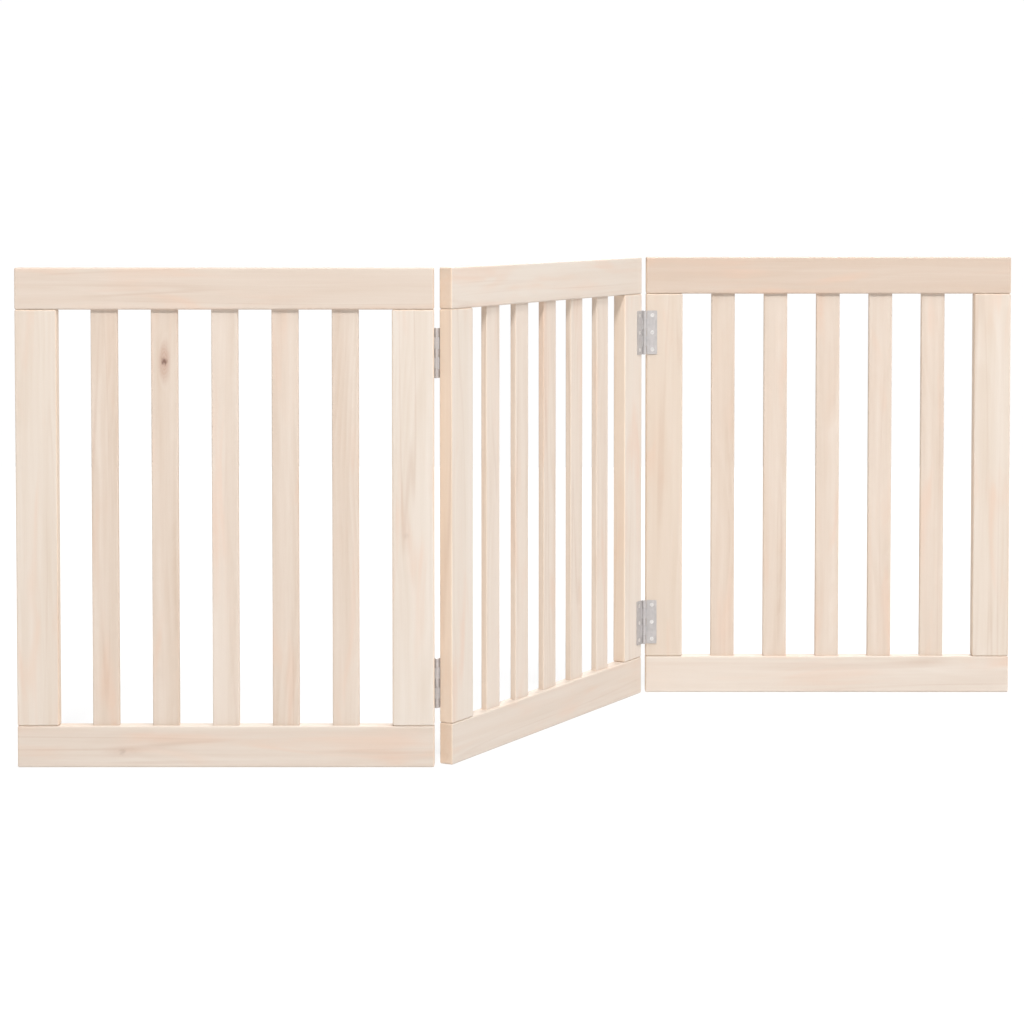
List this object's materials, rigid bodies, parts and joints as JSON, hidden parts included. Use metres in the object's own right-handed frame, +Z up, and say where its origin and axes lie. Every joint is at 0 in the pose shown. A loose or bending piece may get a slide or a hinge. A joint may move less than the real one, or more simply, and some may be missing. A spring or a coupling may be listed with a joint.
{
  "type": "pet gate",
  "caption": "Free-standing folding pet gate: slatted wooden panels joined by steel butt hinges, standing in a zigzag.",
  "frame": {"origin": "on the floor under the middle of the middle panel, which is also the centre of the whole gate's footprint box", "axes": "+Z up; +X along the two outer panels, from the left panel to the right one; +Y from the outer panels' front faces to their back faces"},
  "size_m": [1.2772, 0.4666, 0.6],
  "materials": {
    "rail_wood": "planed and sanded pine, unfinished",
    "stile_wood": "planed and sanded pine, unfinished",
    "slat_wood": "planed and sanded pine, unfinished",
    "dowel_wood": "turned beech",
    "hinge_steel": "zinc plated, satin",
    "screw_steel": "zinc plated, bright",
    "pin_steel": "zinc plated, satin"
  },
  "bodies": {
    "left_panel": {"left_bottom_rail": "rail_wood", "left_top_rail": "rail_wood", "left_hinge_stile": "stile_wood", "left_end_stile": "stile_wood", "left_slat_1": "slat_wood", "left_slat_2": "slat_wood", "left_slat_3": "slat_wood", "left_slat_4": "slat_wood", "left_slat_5": "slat_wood", "left_dowels": "dowel_wood", "left_lower_hinge_outer_leaf": "hinge_steel", "left_lower_hinge_outer_screws": "screw_steel", "left_upper_hinge_outer_leaf": "hinge_steel", "left_upper_hinge_outer_screws": "screw_steel"},
    "middle_panel": {"middle_bottom_rail": "rail_wood", "middle_top_rail": "rail_wood", "middle_near_stile": "stile_wood", "middle_far_stile": "stile_wood", "middle_slat_1": "slat_wood", "middle_slat_2": "slat_wood", "middle_slat_3": "slat_wood", "middle_slat_4": "slat_wood", "middle_slat_5": "slat_wood", "middle_dowels": "dowel_wood", "left_lower_hinge_middle_leaf": "hinge_steel", "left_lower_hinge_middle_screws": "screw_steel", "left_lower_hinge_pin": "pin_steel", "left_upper_hinge_middle_leaf": "hinge_steel", "left_upper_hinge_middle_screws": "screw_steel", "left_upper_hinge_pin": "pin_steel", "right_lower_hinge_middle_leaf": "hinge_steel", "right_lower_hinge_middle_screws": "screw_steel", "right_lower_hinge_pin": "pin_steel", "right_upper_hinge_middle_leaf": "hinge_steel", "right_upper_hinge_middle_screws": "screw_steel", "right_upper_hinge_pin": "pin_steel"},
    "right_panel": {"right_bottom_rail": "rail_wood", "right_top_rail": "rail_wood", "right_hinge_stile": "stile_wood", "right_end_stile": "stile_wood", "right_slat_1": "slat_wood", "right_slat_2": "slat_wood", "right_slat_3": "slat_wood", "right_slat_4": "slat_wood", "right_slat_5": "slat_wood", "right_dowels": "dowel_wood", "right_lower_hinge_outer_leaf": "hinge_steel", "right_lower_hinge_outer_screws": "screw_steel", "right_upper_hinge_outer_leaf": "hinge_steel", "right_upper_hinge_outer_screws": "screw_steel"}
  },
  "joints": [
    {"name": "left_fold", "type": "hinge", "parent": "middle_panel", "child": "left_panel", "pos_m": [-0.1363, -0.21258, 0.3], "axis": [0, 0, -1], "range_deg": [-60, 120]},
    {"name": "right_fold", "type": "hinge", "parent": "middle_panel", "child": "right_panel", "pos_m": [0.1363, 0.21258, 0.3], "axis": [0, 0, -1], "range_deg": [-60, 120]}
  ]
}
